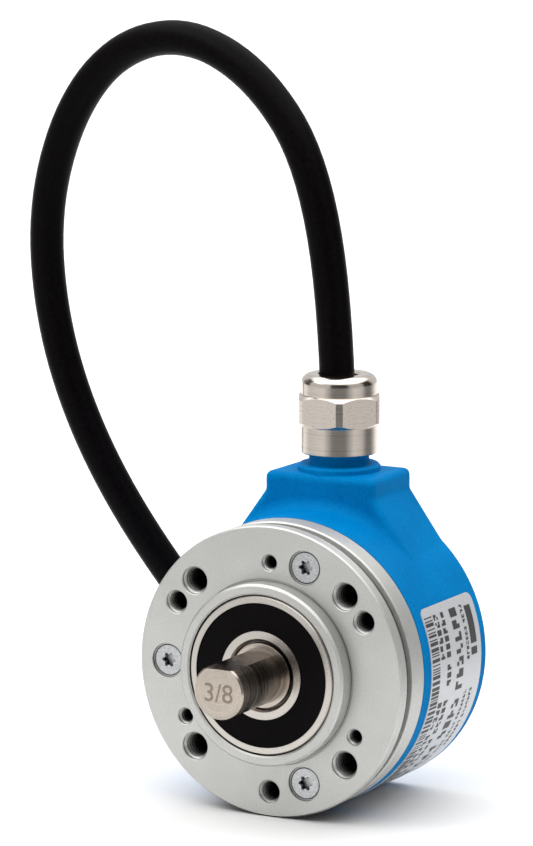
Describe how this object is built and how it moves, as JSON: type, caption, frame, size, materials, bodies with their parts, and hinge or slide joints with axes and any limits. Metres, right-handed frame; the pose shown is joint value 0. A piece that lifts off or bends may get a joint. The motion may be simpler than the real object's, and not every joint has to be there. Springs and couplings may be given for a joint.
{
  "type": "rotary encoder",
  "caption": "Rotary encoder with a round servo flange, solid shaft with a flat, blue housing, and a cable that leaves radially through a gland and arches over to a tied hank.",
  "frame": {"origin": "on the shaft axis, in the flange's front mounting face", "axes": "the shaft points to -Y, the housing runs to +Y, and the cable gland points up, to +Z"},
  "size_m": [0.1085, 0.1657, 0.1334],
  "materials": {
    "satin_aluminium": "fine-turned satin, clear anodised",
    "blue_paint": "satin paint with a fine grain over die-cast metal",
    "label_film": "matt silver-grey film with black print",
    "zinc_steel": "zinc-plated screw steel",
    "bearing_steel": "ground and polished",
    "ball_steel": "polished",
    "black_rubber": "matt moulded rubber",
    "shaft_steel": "turned stainless steel",
    "spring_steel": "rolled strip",
    "cage_plastic": "natural moulded plastic",
    "brass": "turned",
    "nickel_brass": "nickel-plated brass, satin",
    "disc_glass": "clear disc with a chrome line pattern",
    "black_plastic": "moulded, fine matt",
    "circuit_board": "green solder mask with gold pads",
    "chip_black": "moulded package",
    "ceramic_tan": "ceramic body with tinned ends",
    "white_plastic": "moulded connector",
    "core_insulation": "coloured insulation, one colour to each core",
    "cable_jacket": "black satin jacket",
    "tie_black": "woven hook-and-loop strap",
    "lens_clear": "clear moulded"
  },
  "bodies": {
    "stator": {"flange": "satin_aluminium", "body_screws": "zinc_steel", "housing_seal": "black_rubber", "front_bearing_outer_ring": "bearing_steel", "front_bearing_seals": "black_rubber", "rear_bearing_outer_ring": "bearing_steel", "rear_bearing_seals": "black_rubber", "wave_washer": "spring_steel", "light_holder": "black_plastic", "light_source": "lens_clear", "light_lens": "lens_clear", "light_leads": "core_insulation", "main_board": "circuit_board", "board_standoffs": "brass", "board_screws": "zinc_steel", "sensor_chip": "chip_black", "reticle": "disc_glass", "processor_chip": "chip_black", "driver_chips": "chip_black", "capacitors": "ceramic_tan", "board_socket": "white_plastic", "lead_plug": "white_plastic", "inner_leads": "core_insulation", "housing": "blue_paint", "label": "label_film", "gland_seal": "black_rubber", "gland_clamp": "black_plastic", "gland_nut": "nickel_brass", "cable": "cable_jacket", "cable_hank": "cable_jacket", "cable_tie": "tie_black", "core_leads": "core_insulation"},
    "rotor": {"shaft": "shaft_steel", "front_bearing_inner_ring": "bearing_steel", "rear_bearing_inner_ring": "bearing_steel", "shaft_circlip": "spring_steel", "disc_hub": "brass", "hub_screws": "spring_steel", "code_disc": "disc_glass", "disc_clamp": "brass"},
    "front_cage": {"front_bearing_balls": "ball_steel", "front_bearing_cage": "cage_plastic"},
    "rear_cage": {"rear_bearing_balls": "ball_steel", "rear_bearing_cage": "cage_plastic"}
  },
  "joints": [
    {"name": "shaft_spin", "type": "hinge", "parent": "stator", "child": "rotor", "pos_m": [0, 0, 0], "axis": [0, -1, 0], "continuous": true},
    {"name": "front_cage_spin", "type": "hinge", "parent": "stator", "child": "front_cage", "pos_m": [0, 0.001, 0], "axis": [0, -1, 0], "continuous": true},
    {"name": "rear_cage_spin", "type": "hinge", "parent": "stator", "child": "rear_cage", "pos_m": [0, 0.0115, 0], "axis": [0, -1, 0], "continuous": true}
  ],
  "couplings": [
    {"joint": "front_cage_spin", "follows": "shaft_spin", "ratio": 0.38095},
    {"joint": "rear_cage_spin", "follows": "shaft_spin", "ratio": 0.3677}
  ]
}
